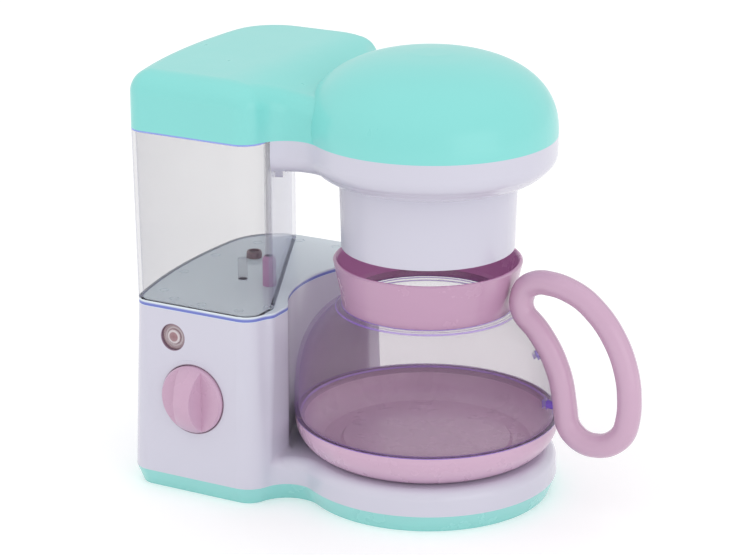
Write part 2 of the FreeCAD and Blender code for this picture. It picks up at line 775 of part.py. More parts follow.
def beside_tank(shift, z0, z1):
    """Everything to the right of the tank's slanted wall, moved outwards by a shift."""
    start = vec(tank_plane_front[0], tank_plane_front[1], z0) + outward * shift - across * 80
    corners = [start, start + across * 280, start + across * 280 + outward * 250, start + outward * 250]
    return Part.Face(Part.makePolygon(corners + corners[:1])).extrude(vec(0, 0, z1 - z0))


def tank_form(grow, z0):
    form = between(tower_wire(-tower_draft + grow, z0), tower_wire(head_grow + grow, head_seam + 0.0))
    form = form.cut(beside_tank(grow, z0 - 1, head_seam + 1))
    corner = [e for e in form.Edges if e.BoundBox.ZMax - e.BoundBox.ZMin > 70
              and abs((e.CenterOfMass - vec(*tank_plane_front)).dot(outward) - grow) < 0.6]
    return form.makeFillet(tank_corner_r + grow, corner)


def water_tank():
    deck = prism(waisted_wire(-tower_draft, tower_top, (0, 0), platform_r, waist_r), deck_thickness)
    deck = deck.cut(recess_room(0, tower_top - 1))
    deck = deck.makeFillet(tower_edge_r, edges_where(deck, beside_edges))
    outside = tank_form(0, tower_top)
    inside = tank_form(-clear_wall, deck_top)
    adds = [cyl(peg_r, deck_top - 0.5, deck_top + peg_height, peg_x, peg_y)]
    holes = [cyl(nozzle_spigot_r + snug_gap, tower_top - 1, deck_top + 1, nozzle_x, nozzle_y),
             cyl(inlet_spigot_r + snug_gap, tower_top - 1, deck_top + 1, inlet_x, inlet_y)]
    for x, y in stake_places:
        adds.append(cyl(stake_r, tower_top - stake_length, tower_top + 0.5, x, y))
        holes.append(cyl(stake_r + 0.5, deck_top - 0.3, deck_top + 1, x, y).cut(
            cyl(stake_r, deck_top - 1, deck_top + 2, x, y)))
    walls = outside.cut(inside)
    return cut(fuse([deck, walls] + adds), holes)


def water_nozzle():
    top = deck_top + nozzle_height
    body = turned(poly([(0, nozzle_foot), (nozzle_spigot_r, nozzle_foot), (nozzle_spigot_r, deck_top),
                        (nozzle_r, deck_top), (nozzle_r, top - 1.4), (nozzle_r - 0.9, top), (0, top)]),
                  nozzle_x, nozzle_y)
    return cut(body, [cyl(1.2, nozzle_foot - 1, top + 1, nozzle_x, nozzle_y),
                      cyl(hose_r + snug_gap, top - 6, top + 1, nozzle_x, nozzle_y)])


def inlet_fitting():
    top = deck_top + inlet_height
    body = turned(poly([(0, inlet_foot), (inlet_spigot_r, inlet_foot), (inlet_spigot_r, deck_top),
                        (inlet_r, deck_top), (inlet_r, top - 0.8), (inlet_r - 0.5, top), (0, top)]),
                  inlet_x, inlet_y)
    return cut(body, [cyl(1.5, inlet_foot - 1, top + 1, inlet_x, inlet_y),
                      cyl(2.4, top - 1.2, top + 1, inlet_x, inlet_y)])


def arm_form(grow, top):
    """The arm and the whole head outline under the seam, rounded along its lower edge."""
    floor = arm_bottom - grow
    wire = waisted_wire(head_grow + grow, floor, (dome_x, dome_y), dome_r - head_grow, head_waist_r)
    form = prism(wire, top - floor)
    return form.makeFillet(neck_edge_r + grow, edges_where(form, lambda b, c: b.ZMax < floor + 0.01))


def bowl_form(grow, top):
    floor = bowl_bottom - grow
    turn_r = bowl_edge_r + grow
    centre_r = dome_r - bowl_edge_r
    half = math.sqrt(0.5) * turn_r
    curve = Part.Arc(vec(centre_r, 0, floor), vec(centre_r + half, 0, floor + turn_r - half),
                     vec(centre_r + turn_r, 0, floor + turn_r))
    profile = [Part.LineSegment(vec(0, 0, floor), vec(centre_r, 0, floor)).toShape(),
               curve.toShape(),
               Part.LineSegment(vec(centre_r + turn_r, 0, floor + turn_r),
                                vec(centre_r + turn_r, 0, top)).toShape(),
               Part.LineSegment(vec(centre_r + turn_r, 0, top), vec(0, 0, top)).toShape(),
               Part.LineSegment(vec(0, 0, top), vec(0, 0, floor)).toShape()]
    return turned(profile, dome_x, dome_y)


hose_level = head_seam + 7.5
basket_screw_reach = basket_top_r - boss_r - 1.2


def around(count, radius, offset=0.0):
    """Points evenly spaced on a circle about the carafe's axis."""
    step = 2 * math.pi / count
    return [(radius * math.cos(offset + i * step), radius * math.sin(offset + i * step))
            for i in range(count)]


def head_shell():
    seat = loose_gap / 3
    keep = beside_tank(seat, bowl_bottom - 1, head_seam + 1)
    outside = arm_form(0, head_seam).common(keep).fuse(bowl_form(0, head_seam))
    inside = arm_form(-shell_wall, head_seam + 1).common(
        beside_tank(seat + shell_wall, bowl_bottom - 1, head_seam + 2))
    inside = inside.fuse(bowl_form(-shell_wall, head_seam + 1))
    shell = outside.cut(inside)
    lip = lip_over_tank(seat)
    saddle = box(-34, -31, -12, -4, bowl_bottom + 1, hose_level - hose_r)
    tab = tank_tab(seat)
    holes = [cyl(spout_r + 0.2, bowl_bottom - 1, bowl_bottom + 5)]
    holes += [cyl(screw_r + 0.2, bowl_bottom - 1, bowl_bottom + 5, x, y)
              for x, y in around(3, basket_screw_reach, math.pi / 6)]
    return cut(fuse([shell, lip, saddle, tab]), holes + [floor_windows()])


def floor_windows():
    """Three openings in the bowl's floor over the basket, with spokes left between them."""
    ring = cyl(window_outer_r, bowl_bottom - 1, bowl_bottom + shell_wall + 1).cut(
        cyl(window_inner_r, bowl_bottom - 2, bowl_bottom + shell_wall + 2))
    spokes = []
    for x, y in around(3, 1.0, math.pi / 6):
        spoke = box(0, window_outer_r + 1, -spoke_width / 2, spoke_width / 2,
                    bowl_bottom - 2, bowl_bottom + shell_wall + 2)
        spoke.rotate(vec(0, 0), UP, math.degrees(math.atan2(y, x)))
        spokes.append(spoke)
    return ring.cut(spokes)


def slab(along0, along1, out0, out1, z0, z1):
    """A block square to the tank's slanted wall, measured along it and out from it."""
    base = vec(tank_plane_front[0], tank_plane_front[1], z0)
    corners = [base + across * a + outward * o for a, o in
               ((along0, out0), (along1, out0), (along1, out1), (along0, out1))]
    return Part.Face(Part.makePolygon(corners + corners[:1])).extrude(vec(0, 0, z1 - z0))


def lip_over_tank(seat):
    """The head hangs on the tank's slanted wall by this hook along its rim."""
    top = head_seam + 1.5
    inner = -clear_wall - seat
    bridge = slab(lip_start, lip_end, inner - 1.5, seat + shell_wall, head_seam, top)
    hook = slab(lip_start, lip_end, inner - 1.5, inner, head_seam - 5, top)
    at = (vec(nozzle_x, nozzle_y) - vec(*tank_plane_front)).dot(across)
    reach = hose_r + 2.5
    notch = slab(at - reach, at + reach, -12, 0, head_seam - 6, top + 1)
    return bridge.fuse(hook).cut(notch)


def tank_tab(seat):
    """The rounded tab under the arm that lies against the tank."""
    tab = slab(18, 34, seat, seat + 3.5, arm_bottom - 6.5, arm_bottom + 2)
    return tab.makeFillet(3.0, [e for e in tab.Edges if e.BoundBox.ZMax < arm_bottom - 6
                                and abs(e.Length - 3.5) < 0.01])


def filter_basket():
    outside = Part.makeCone(basket_bottom_r, basket_top_r, basket_height, vec(0, 0, basket_bottom))
    inside = Part.makeCone(basket_bottom_r - shell_wall, basket_top_r - shell_wall, basket_height,
                           vec(0, 0, basket_bottom + shell_wall))
    adds = []
    holes = [cyl(drip_hole_r, basket_bottom - 1, basket_bottom + 4, x, y)
             for x, y in [(0, 0)] + around(8, drip_ring_r)]
    for x, y in around(3, basket_screw_reach, math.pi / 6):
        adds.append(cyl(boss_r, bowl_bottom - 14, bowl_bottom, x, y))
        holes.append(cyl(screw_r + snug_gap, bowl_bottom - screw_bite, bowl_bottom + 1, x, y))
    cup = outside.cut(inside.common(cyl(2 * basket_top_r, basket_bottom, bowl_bottom + 1)))
    return cut(fuse([cup] + adds), holes)


def basket_screws():
    return [screw(vec(x, y, bowl_bottom + shell_wall), vec(0, 0, -1), screw_bite, 2.6, 1.6)
            for x, y in around(3, basket_screw_reach, math.pi / 6)]


def drip_spout():
    floor = bowl_bottom + shell_wall
    body = turned(poly([(0, bowl_bottom - 8), (spout_r - 0.8, bowl_bottom - 8), (spout_r, bowl_bottom - 2),
                        (spout_r, floor), (6.5, floor), (6.5, floor + 1.2), (spout_r, floor + 1.2),
                        (spout_r, floor + 9), (0, floor + 9)]))
    return cut(body, [cyl(1.2, bowl_bottom - 9, floor + 10), cyl(hose_r + snug_gap, floor + 3, floor + 10)])


def water_hose():
    foot = deck_top + nozzle_height - 6
    return hose([vec(nozzle_x, nozzle_y, foot), vec(nozzle_x, nozzle_y, hose_level), vec(0, 0, hose_level),
                 vec(0, 0, bowl_bottom + shell_wall + 3)], hose_bend_r, hose_r, hose_bore_r)


def dome_form(grow, z0):
    """The dome: a superellipse turned about the head's axis."""
    r = dome_r + grow
    h = dome_height + grow
    count = 12
    points = []
    for i in range(count + 1):
        angle = math.pi / 2 * i / count
        points.append(vec(r * math.cos(angle) ** (2 / dome_power), 0,
                          head_seam + h * math.sin(angle) ** (2 / dome_power)))
    points[-1] = vec(0, 0, head_seam + h)
    curve = Part.BSplineCurve()
    curve.interpolate(Points=points, InitialTangent=vec(0, 0, 1), FinalTangent=vec(-1, 0, 0))
    profile = [curve.toShape(),
               Part.LineSegment(points[-1], vec(0, 0, z0)).toShape(),
               Part.LineSegment(vec(0, 0, z0), vec(r, 0, z0)).toShape()]
    if z0 < head_seam:
        profile.append(Part.LineSegment(vec(r, 0, z0), points[0]).toShape())
    return turned(profile, dome_x, dome_y)


def under_roof(top, low, z0):
    """Everything under the roof line: flat over the tank, then falling in a soft S to the neck."""
    start = tower_right_x - slope_over_tank
    end = tower_right_x + slope_over_arm
    middle = (start + end) / 2
    fall = Part.BezierCurve()
    fall.setPoles([vec(start, -roof_reach, top), vec(middle, -roof_reach, top),
                   vec(middle, -roof_reach, low), vec(end, -roof_reach, low)])
    corners = [vec(end, -roof_reach, low), vec(roof_reach, -roof_reach, low),
               vec(roof_reach, -roof_reach, z0), vec(-roof_reach, -roof_reach, z0),
               vec(-roof_reach, -roof_reach, top), vec(start, -roof_reach, top)]
    edges = [fall.toShape()]
    edges += [Part.LineSegment(a, b).toShape() for a, b in zip(corners, corners[1:])]
    return Part.Face(Part.Wire(edges)).extrude(vec(0, 2 * roof_reach, 0))


def cover_form(grow, z0):
    """The cover from outside: the roof over the tank, the sloping neck and the dome."""
    top = head_seam + cover_box_height + grow
    low = head_seam + cover_neck_height + grow
    seam_r = dome_r - head_grow
    centre = (dome_x, dome_y)
    block = between(waisted_wire(head_grow + grow, z0, centre, seam_r, head_waist_r),
                    waisted_wire(head_grow + grow, top + 2, centre, seam_r - neck_inset, neck_waist_r))
    block = block.common(under_roof(top, low, z0 - 1)).removeSplitter()
    across_roof = 2 * tower_corner_r
    block = block.makeFillet(cover_edge_r + grow, edges_where(
        block, lambda b, c: b.ZMin > low - 0.02 and not (b.XLength < 0.02 and b.YLength > across_roof)))
    return fuse([block, dome_form(grow, z0)])


def top_cover():
    shell = cover_form(0, head_seam).cut(cover_form(-shell_wall, head_seam - 1))
    centre = (dome_x, dome_y)
    seam_r = dome_r - head_grow

    def outline(grow, z, height):
        return prism(waisted_wire(head_grow + grow, z, centre, seam_r, head_waist_r), height)

    tongue_start = 8.0
    clear = shell_wall + loose_gap
    tongue = outline(-clear, head_seam - 5, 5.5).cut(outline(-clear - 1.2, head_seam - 6, 9))
    root = outline(-shell_wall + 0.5, head_seam, 3).cut(outline(-clear - 1.2, head_seam - 1, 9))
    head_side = beside_tank(tongue_start, head_seam - 6, head_seam + 9)
    tongue = tongue.common(head_side)
    root = root.common(head_side)
    return fuse([shell, tongue, root])


def jar_curve(grow):
    """Points up the side of the jar, from the shoulder to the neck."""
    height = (neck_z - jar_shoulder_z) / (1 - (neck_r / jar_r) ** jar_power) ** (1 / jar_power)
    count = 9
    points = []
    for i in range(count + 1):
        angle = i / count
        r = jar_r + (neck_r - jar_r) * angle ** 1.6
        lift = (1 - (r / jar_r) ** jar_power) ** (1 / jar_power)
        slope_r = (r / jar_r) ** (jar_power - 1) / jar_r
        slope_z = lift ** (jar_power - 1) / height
        size = math.hypot(slope_r, slope_z)
        points.append(vec(r + grow * slope_r / size, 0,
                          jar_shoulder_z + height * lift + grow * slope_z / size))
    return points


def carafe_jar():
    outer = jar_curve(0)
    inner = jar_curve(-clear_wall)
    throat = neck_r - 2.0
    inner[-1] = vec(throat - clear_wall, 0, inner[-1].z)
    curve_out = Part.BSplineCurve()
    curve_out.interpolate(Points=outer, InitialTangent=vec(0, 0, 1), FinalTangent=outer[-1] - outer[-2])
    curve_in = Part.BSplineCurve()
    curve_in.interpolate(Points=inner, InitialTangent=vec(0, 0, 1), FinalTangent=inner[-1] - inner[-2])
    skirt = jar_base_rim_r - jar_base_wall - snug_gap
    lip = neck_z + 4.0
    chain = [outer[0], vec(jar_base_rim_r, 0, jar_rim_z), vec(skirt, 0, jar_rim_z),
             vec(skirt, 0, jar_rim_z - jar_skirt), vec(skirt - clear_wall, 0, jar_rim_z - jar_skirt),
             inner[0]]
    mouth = [outer[-1], vec(throat, 0, neck_z + 0.01), vec(throat, 0, lip),
             vec(throat - clear_wall, 0, lip), inner[-1]]
    edges = [curve_out.toShape(), curve_in.toShape()]
    for corners in (chain, mouth):
        edges += [Part.LineSegment(a, b).toShape() for a, b in zip(corners, corners[1:])]
    jar = turned(Part.__sortEdges__(edges))
    lugs = [rod(lug_r, vec(jar_radius(z) - 1.0, 0, z), vec(reach, 0, z)) for z, reach in handle_lugs]
    bead_z = neck_z - bead_drop
    bead = Part.makeTorus(jar_radius(bead_z) + bead_r / 2, bead_r, vec(0, 0, bead_z))
    return fuse([jar] + lugs + [bead])


def jar_radius(z):
    height = (neck_z - jar_shoulder_z) / (1 - (neck_r / jar_r) ** jar_power) ** (1 / jar_power)
    return jar_r * (1 - ((z - jar_shoulder_z) / height) ** jar_power) ** (1 / jar_power)


def carafe_base():
    z = platform_top
    wall = jar_base_wall
    rise = jar_rim_z - jar_skirt
    outer = Part.Arc(vec(jar_base_floor_r, 0, z), vec(jar_base_rim_r - 3.0, 0, z + 5.5),
                     vec(jar_base_rim_r, 0, rise))
    inner = Part.Arc(vec(jar_base_floor_r - 0.8, 0, z + wall),
                     vec(jar_base_rim_r - 3.0 - wall, 0, z + 5.5 + wall * 0.6),
                     vec(jar_base_rim_r - wall, 0, rise))
    step = jar_base_step
    lines = [(jar_base_rim_r, rise), (jar_base_rim_r, jar_rim_z), (jar_base_rim_r - wall, jar_rim_z),
             (jar_base_rim_r - wall, rise)]
    floor = [(jar_base_floor_r - 0.8, z + wall), (jar_base_step_r, z + wall),
             (jar_base_step_r - step, z + wall + step), (0, z + wall + step), (0, z), (jar_base_floor_r, z)]
    edges = [outer.toShape(), inner.toShape()]
    for corners in (lines, floor):
        edges += [Part.LineSegment(vec(a[0], 0, a[1]), vec(b[0], 0, b[1])).toShape()
                  for a, b in zip(corners, corners[1:])]
    return turned(Part.__sortEdges__(edges))


def carafe_collar():
    foot_r = neck_r + 0.3
    seat_r = neck_r - 2.0 + snug_gap
    seat_top = neck_z + 4.0 + snug_gap
    points = [(foot_r, neck_z + 0.05), (neck_r + 1.2, neck_z + 6), (collar_rim_r - 0.4, collar_top - 0.6),
              (collar_rim_r - 1.0, collar_top), (collar_rim_r - 1.8, collar_top),
              (collar_rim_r - 2.4, collar_top - 0.8), (neck_r - 2.6, seat_top + 1.5),
              (neck_r - 3.4, seat_top), (seat_r, seat_top), (seat_r, neck_z + 0.05)]
    pouring = rod(spout_notch_r, vec(-collar_rim_r - 3, 0, collar_top + 1.2),
                  vec(-collar_rim_r + 5, 0, collar_top + 1.2))
    return turned(poly(points)).cut(pouring)


def handle_loop():
    """The handle's closed centre line: short runs joined by tangent arcs."""
    corners = [vec(jar_r + out, 0, z) for out, z in handle_points]
    count = len(corners)
    spans = []
    for i, corner in enumerate(corners):
        before = corners[i - 1]
        after = corners[(i + 1) % count]
        come = corner - before
        leave = after - corner
        reach = 0.45 * min(come.Length, leave.Length)
        turn = come.getAngle(leave)
        radius = reach / math.tan(turn / 2)
        come.normalize()
        leave.normalize()
        inward = (leave - come).normalize()
        middle = corner + inward * (radius / math.cos(turn / 2) - radius)
        spans.append((corner - come * reach, middle, corner + leave * reach))
    edges = []
    for i, (first, middle, last) in enumerate(spans):
        edges.append(Part.Arc(first, middle, last).toShape())
        edges.append(Part.LineSegment(last, spans[(i + 1) % count][0]).toShape())
    return Part.Wire(edges)


def handle_half(front):
    path = handle_loop()
    start = path.Edges[0]
    at = start.valueAt(start.FirstParameter)
    ring = Part.Wire([Part.makeCircle(handle_r, at, start.tangentAt(start.FirstParameter))])
    tube = path.makePipeShell([ring], True, False)
    near = jar_r - 40
    far = jar_r + 70
    half = box(near, far, -20, 0, 10, 130) if front else box(near, far, 0, 20, 10, 130)
    holes = [rod(lug_r + snug_gap, vec(reach - 12, 0, z), vec(reach + 0.1, 0, z)) for z, reach in handle_lugs]
    return tube.common(half).cut(holes)


os.makedirs("parts", exist_ok=True)
save("bottom_tray", [bottom_tray()])
save("battery_door", [battery_door()])
save("battery_door_screw", [screw(vec(battery_box_x, door_screw_y, door_seat_z), UP, 5.5,
                                  door_screw_head_r, 0.8)])
save("batteries", batteries())
save("battery_contacts", battery_contacts())
save("battery_springs", battery_springs())
save("case_screws", case_screws())
save("body_shell", [body_shell()])
save("knob", [knob()])
save("switch_spindle", [switch_spindle()])
save("rotary_switch", [rotary_switch()])
save("switch_screws", switch_screws())
save("lamp_lens", [lamp_lens()])
save("lamp", [lamp()])
save("lamp_board", [lamp_board()])
save("lamp_board_screws", lamp_board_screws())
save("motor_end_cap", [motor_end_cap()])
save("motor_can", [motor_can()])
save("motor_shaft", [motor_shaft()])
save("shaft_seal", [shaft_seal()])
save("impeller", [impeller()])
save("pump_housing", [pump_housing()])
save("pump_cover", [pump_cover()])
save("pump_screws", pump_screws())
save("inlet_hose", [inlet_hose()])
save("outlet_hose", [outlet_hose()])
save("water_tank", [water_tank()])
save("inlet_fitting", [inlet_fitting()])
save("water_nozzle", [water_nozzle()])
save("water_hose", [water_hose()])
save("head_shell", [head_shell()])
save("filter_basket", [filter_basket()])
save("basket_screws", basket_screws())
save("drip_spout", [drip_spout()])
save("top_cover", [top_cover()])
save("carafe_base", [carafe_base()])
save("carafe_jar", [carafe_jar()])
save("carafe_collar", [carafe_collar()])
save("handle_front", [handle_half(True)])
save("handle_rear", [handle_half(False)])
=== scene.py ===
import bmesh
import bpy
import math
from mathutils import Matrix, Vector

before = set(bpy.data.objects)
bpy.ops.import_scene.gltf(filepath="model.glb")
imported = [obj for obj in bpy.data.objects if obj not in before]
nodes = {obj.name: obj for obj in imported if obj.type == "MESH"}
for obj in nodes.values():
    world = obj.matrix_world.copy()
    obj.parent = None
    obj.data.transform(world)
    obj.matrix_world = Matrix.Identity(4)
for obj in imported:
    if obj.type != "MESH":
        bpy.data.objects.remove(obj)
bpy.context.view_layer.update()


# The tray is a glossy teal moulding that closes the underside, and the battery door is the same
# plastic. The tray draws in towards the floor and is held by six screws up into the white body.
class Link:
    """One output in a material, so that shader sums read as plain expressions."""

    def __init__(self, tree, socket):
        self.tree = tree
        self.socket = socket

    def make(self, kind, settings=None, values=None):
        node = self.tree.nodes.new(kind)
        for key, value in (settings or {}).items():
            if key == "stops":
                elements = node.color_ramp.elements
                while len(elements) < len(value):
                    elements.new(1.0)
                for spot, (place, shade) in zip(elements, value):
                    spot.position = place
                    spot.color = shade
            else:
                setattr(node, key, value)
        for key, value in (values or {}).items():
            if isinstance(value, Link):
                self.tree.links.new(value.socket, node.inputs[key])
            else:
                node.inputs[key].default_value = value
        return node

    def out(self, kind, settings=None, values=None, name=0):
        return Link(self.tree, self.make(kind, settings, values).outputs[name])

    def sum_with(self, operation, first, second):
        return self.out("ShaderNodeMath", {"operation": operation}, {0: first, 1: second})

    def __add__(self, other):
        return self.sum_with("ADD", self, other)

    def __sub__(self, other):
        return self.sum_with("SUBTRACT", self, other)

    def __rsub__(self, other):
        return self.sum_with("SUBTRACT", other, self)

    def __mul__(self, other):
        return self.sum_with("MULTIPLY", self, other)

    def __pow__(self, other):
        return self.sum_with("POWER", self, other)

    def __abs__(self):
        return self.sum_with("ABSOLUTE", self, 0.0)


def colour(red, green, blue):
    """A colour as seen on a screen, 0 to 255, turned into the renderer's own scale."""
    parts = []
    for part in (red, green, blue):
        part = part / 255
        parts.append(part / 12.92 if part <= 0.04045 else ((part + 0.055) / 1.055) ** 2.4)
    return (*parts, 1.0)


def dimmed(tone, share):
    return tuple(part * share for part in tone[:3]) + (1.0,)


def blank(name):
    material = bpy.data.materials.new(name)
    material.use_nodes = True
    tree = material.node_tree
    shader = tree.nodes["Principled BSDF"]
    place = Link(tree, None).out("ShaderNodeTexCoord", name="Object")
    return material, shader, place


def noise(place, scale, detail=2.0, rough=0.5):
    return place.out("ShaderNodeTexNoise", None,
                     {"Vector": place, "Scale": scale, "Detail": detail, "Roughness": rough}, "Fac")


def along(place, axis):
    return place.out("ShaderNodeSeparateXYZ", None, {0: place}, axis)


def ramp(value, low, high):
    """Nought below low and one above high, or the other way round when low is the larger."""
    return value.out("ShaderNodeMapRange", {"clamp": True}, {0: value, 1: low, 2: high, 3: 0.0, 4: 1.0})


def near(value, centre, half, soft):
    """One within half of the centre, fading out over soft beyond it."""
    return ramp(abs(value - centre), half + soft, half)


def blend(place, amount, low, high):
    return place.out("ShaderNodeMix", {"data_type": "RGBA"}, {0: amount, 6: low, 7: high}, 2)


def join(link, shader, name):
    link.tree.links.new(link.socket, shader.inputs[name])


def skin(place, shader, grain):
    """The fine, nearly flat surface that a polished mould leaves."""
    bump = place.make("ShaderNodeBump", None,
                      {"Strength": grain, "Distance": 0.0001, "Height": noise(place, 900.0)})
    place.tree.links.new(bump.outputs[0], shader.inputs["Normal"])


def moulded(name, tone, roughness=0.26, grain=0.06, coat=0.3, tint=0.95, mark=None):
    """Injection-moulded plastic; mark gives a second colour and where it lies."""
    material, shader, place = blank(name)
    base = blend(place, noise(place, 22.0, 3.0), tone, dimmed(tone, tint))
    if mark:
        marked, where = mark
        base = blend(place, where(place), base, marked)
    join(base, shader, "Base Color")
    join(noise(place, 60.0, 4.0, 0.6) * 0.12 + (roughness - 0.06), shader, "Roughness")
    skin(place, shader, grain)
    shader.inputs["Coat Weight"].default_value = coat
    shader.inputs["Coat Roughness"].default_value = 0.1
    shader.inputs["IOR"].default_value = 1.5
    return material


def dress(material, *names):
    for name in names:
        mesh = nodes[name].data
        if not mesh.materials:
            mesh.materials.append(material)
        for slot in nodes[name].material_slots:
            slot.material = material


teal = moulded("teal_moulding", colour(156, 226, 222))
dress(teal, "bottom_tray", "battery_door")


# Three cells lie side by side in the box over the door, each between a flat plated contact and
# a sprung one. They are bought parts: steel cans in a plain printed sleeve.
def plated(name, tone, roughness, streak):
    """Plated or bare steel with short drawn marks."""
    material, shader, place = blank(name)
    stretched = place.out("ShaderNodeMapping", None, {"Vector": place, "Scale": (1.0, 1.0, streak)})
    drawn = noise(stretched, 500.0, 3.0)
    join(blend(place, drawn, tone, dimmed(tone, 0.8)), shader, "Base Color")
    join(drawn * 0.16 + (roughness - 0.08), shader, "Roughness")
    shader.inputs["Metallic"].default_value = 1.0
    return material


def sleeve_end(place):
    """The bare steel at both ends of each cell, beyond the sleeve."""
    return ramp(abs(along(place, "Y") - 0.004), 0.0232, 0.0236)


spring_steel = plated("spring_steel", colour(196, 196, 198), 0.28, 4.0)
dress(spring_steel, "battery_contacts", "battery_springs")
dress(moulded("cell_sleeve", colour(70, 76, 84), 0.3, mark=(colour(180, 180, 182), sleeve_end)), "batteries")


# Every screw is a zinc-plated crosshead, turned into a blind boss. They hold the tray, the door, the
# switch, the lamp's board, the pump and the basket.
zinc = plated("zinc_plate", colour(190, 190, 194), 0.32, 6.0)
dress(zinc, "case_screws", "battery_door_screw", "switch_screws", "lamp_board_screws", "pump_screws",
      "basket_screws")


# A small can motor stands in a cradle on the battery box and turns the pump's impeller through a seal.
# The can is drawn steel with a nylon end cap, and the pump is unpolished dark nylon.
dress(plated("drawn_can", colour(172, 172, 176), 0.36, 12.0), "motor_can")
dress(plated("ground_shaft", colour(206, 206, 208), 0.2, 20.0), "motor_shaft")
nylon = moulded("dark_nylon", colour(84, 74, 72), 0.5, 0.15, 0.0, 0.85)
dress(nylon, "motor_end_cap", "pump_housing", "pump_cover", "impeller")
dress(moulded("soft_seal", colour(36, 36, 38), 0.6, 0.2, 0.0), "shaft_seal")


# The body is one glossy white moulding with a slight lavender cast: the tower, the round platform
# and the recess for the carafe. The pocket round the knob and the lamp's hole carry painted shade:
# a dark mauve that stands in for the deep shade in them.
def about(place, x, z):
    """Distance in the front face from a point on it."""
    square = (along(place, "X") - x) ** 2 + (along(place, "Z") - z) ** 2
    return square ** 0.5


# Painted shade: a mask over the knob's pocket and the lamp's hole in the front face, which the dark mauve
# fills.
def painted_hole_shade(place):
    front = ramp(along(place, "Y"), -0.050, -0.052)
    pocket = ramp(about(place, *knob_middle), 0.0164, 0.0160)
    lamp_hole = ramp(about(place, *lamp_middle), 0.0064, 0.0061)
    return (pocket + lamp_hole) * front * 0.85


knob_middle = (-0.085, 0.046)
lamp_middle = (-0.0955, 0.0732)
white = colour(214, 212, 227)
# The dark mauve mark on the white moulding is painted shade in the knob's pocket and the lamp's hole.
dress(moulded("white_moulding", white, 0.24, 0.05, 0.35, 0.97, (colour(124, 86, 110), painted_hole_shade)),
      "body_shell")


# The knob is a pink dome with a straight grip bar left between two V-shaped cuts. It is pressed onto
# the spindle of a small rotary switch, which two screws hold behind the tower's front.
pink = colour(209, 172, 198)
dress(moulded("pink_moulding", pink, 0.28, 0.06, 0.25, 0.95), "knob")
dress(moulded("white_spindle", white, 0.4, 0.08, 0.0), "switch_spindle")
dress(moulded("switch_nylon", colour(70, 66, 68), 0.5, 0.15, 0.0, 0.85), "rotary_switch")


# The lamp is a small diffused red diode on a green board. A clear stepped lens sits in front of it, a
# little behind the tower's face, and the hole shows brown through its rings. The rings are painted on the
# lens: a red core where the diode shows, pale rings that are painted highlights on its steps, and darker
# brown rings that are painted shade.
def lens_with_painted_rings():
    material, shader, place = blank("clear_lens")
    spread = about(place, *lamp_middle) * 160.0
    stops = [(0.0, colour(150, 92, 100)), (0.32, colour(168, 120, 128)), (0.40, colour(240, 232, 236)),
             (0.50, colour(222, 208, 214)), (0.56, colour(170, 138, 146)), (0.66, colour(212, 198, 204)),
             (0.80, colour(178, 150, 158)), (0.94, colour(140, 104, 114))]
    # Painted highlights and painted shade: pale and brown rings laid on the clear lens round the lamp's
    # middle.
    painted_rings = place.out("ShaderNodeValToRGB", {"stops": stops}, {0: spread})
    cloud = noise(place, 400.0, 2.0)
    join(blend(place, cloud * 0.2, painted_rings, colour(236, 226, 230)), shader, "Base Color")
    join(cloud * 0.05 + 0.05, shader, "Roughness")
    shader.inputs["Alpha"].default_value = 0.8
    shader.inputs["Coat Weight"].default_value = 0.6
    return material


dress(lens_with_painted_rings(), "lamp_lens")
dress(moulded("lamp_epoxy", colour(214, 104, 104), 0.2), "lamp")
dress(moulded("green_board", colour(70, 118, 82), 0.4, 0.1, 0.1), "lamp_board")


# The tank is one clear moulding, faintly violet: a floor plate staked onto the tower's top and thin
# walls over it. It darkens to blue at the floor's edge, at the rim, and wherever it is seen edge on.
# Its floor plate is painted near white and nearly solid: painted light, standing in for the light that
# the clear plate lets through.
def clear_plastic(name, tone, edge_tone, film, lines):
    """Thin clear plastic: see-through face on, tinted edge on, with coloured lines laid over it."""
    material, shader, place = blank(name)
    facing = place.out("ShaderNodeLayerWeight", None, {"Blend": 0.5}, "Facing") ** 4.0
    cloud = noise(place, 30.0, 1.0)
    base = blend(place, facing, tone, edge_tone)
    solid = facing * 0.5 + (cloud * 0.02 + film)
    for line_tone, weight, where in lines:
        mask = where(place)
        base = blend(place, mask, base, line_tone)
        solid = blend_value(solid, mask, weight)
    join(base, shader, "Base Color")
    join(solid, shader, "Alpha")
    join(noise(place, 260.0, 5.0, 0.7) * 0.06 + 0.04, shader, "Roughness")
    shader.inputs["IOR"].default_value = 1.5
    return material


def blend_value(value, amount, other):
    return value * (1.0 - amount) + amount * other


def deck_painted_light(place):
    """The tank's floor, up to just over its upper face, which is painted near white as painted light."""
    return ramp(along(place, "Z"), 0.0884, 0.0881)


def deck_rim(place):
    """The lower part of the floor's edge, which carries the blue line."""
    height = along(place, "Z")
    return ramp(height, 0.0857, 0.0859) * ramp(height, 0.0876, 0.0868)


def tank_rim(place):
    return ramp(along(place, "Z"), 0.1658, 0.1660)


# The first line paints the floor plate near white: painted light for the light passing through it.
tank_lines = [(colour(238, 248, 255), 0.92, deck_painted_light), (colour(126, 138, 222), 0.85, deck_rim),
              (colour(140, 156, 240), 0.9, tank_rim)]
dress(clear_plastic("clear_tank", colour(134, 126, 142), colour(168, 170, 226), 0.095, tank_lines),
      "water_tank")


# A pink nozzle and a dark inlet fitting stand on the tank's floor. The feed tube from the pump is pushed
# onto the nozzle's foot, and a thin clear tube rises from its top and bends over into the head.
dress(moulded("pink_nozzle", colour(196, 146, 184), 0.3, 0.06, 0.2, 0.9), "water_nozzle")
dress(moulded("brown_fitting", colour(128, 100, 102), 0.4, 0.1, 0.1, 0.85), "inlet_fitting")
dress(moulded("soft_vinyl", colour(205, 205, 214), 0.42, 0.1, 0.0), "inlet_hose", "outlet_hose")


